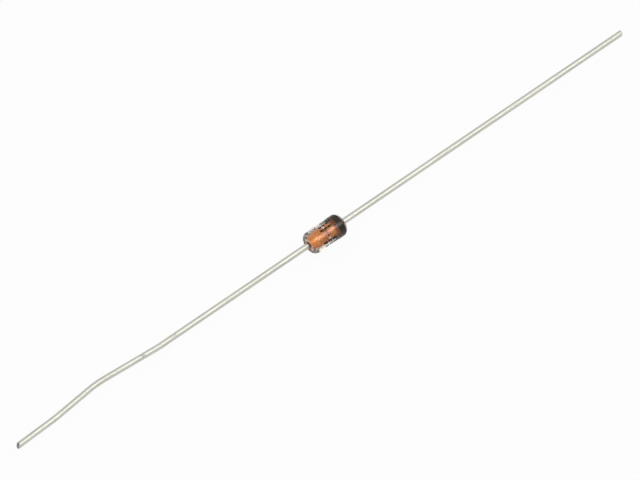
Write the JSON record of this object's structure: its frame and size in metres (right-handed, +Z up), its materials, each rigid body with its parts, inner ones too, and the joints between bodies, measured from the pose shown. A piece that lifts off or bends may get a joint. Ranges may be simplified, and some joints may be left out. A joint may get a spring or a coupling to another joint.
{
  "type": "zener diode",
  "caption": "Axial zener diode: a small clear glass case sealed round copper-clad slugs and a silicon chip, with a black cathode band and long tinned wire leads.",
  "frame": {"origin": "middle of the glass case, on the lead axis", "axes": "+X along the leads towards the banded cathode end, +Y level and across the leads, in the plane of the anode lead's bends, +Z up with the diode lying on its side"},
  "size_m": [0.0626, 0.0018, 0.0018],
  "materials": {
    "glass": "clear sealing glass, smooth, with fire-rounded ends",
    "ink": "glossy black ring of ink baked on the glass",
    "copper": "copper cladding with an orange oxide bloom, seen through the glass",
    "silicon": "polished grey silicon",
    "silver": "plated silver",
    "tin": "bright tin plating over copper-clad wire, with fine draw lines"
  },
  "bodies": {
    "root": {"glass_sleeve": "glass", "cathode_band": "ink", "cathode_slug": "copper", "anode_slug": "copper", "silicon_chip": "silicon", "contact_bump": "silver", "cathode_lead": "tin", "anode_lead": "tin"}
  },
  "joints": []
}
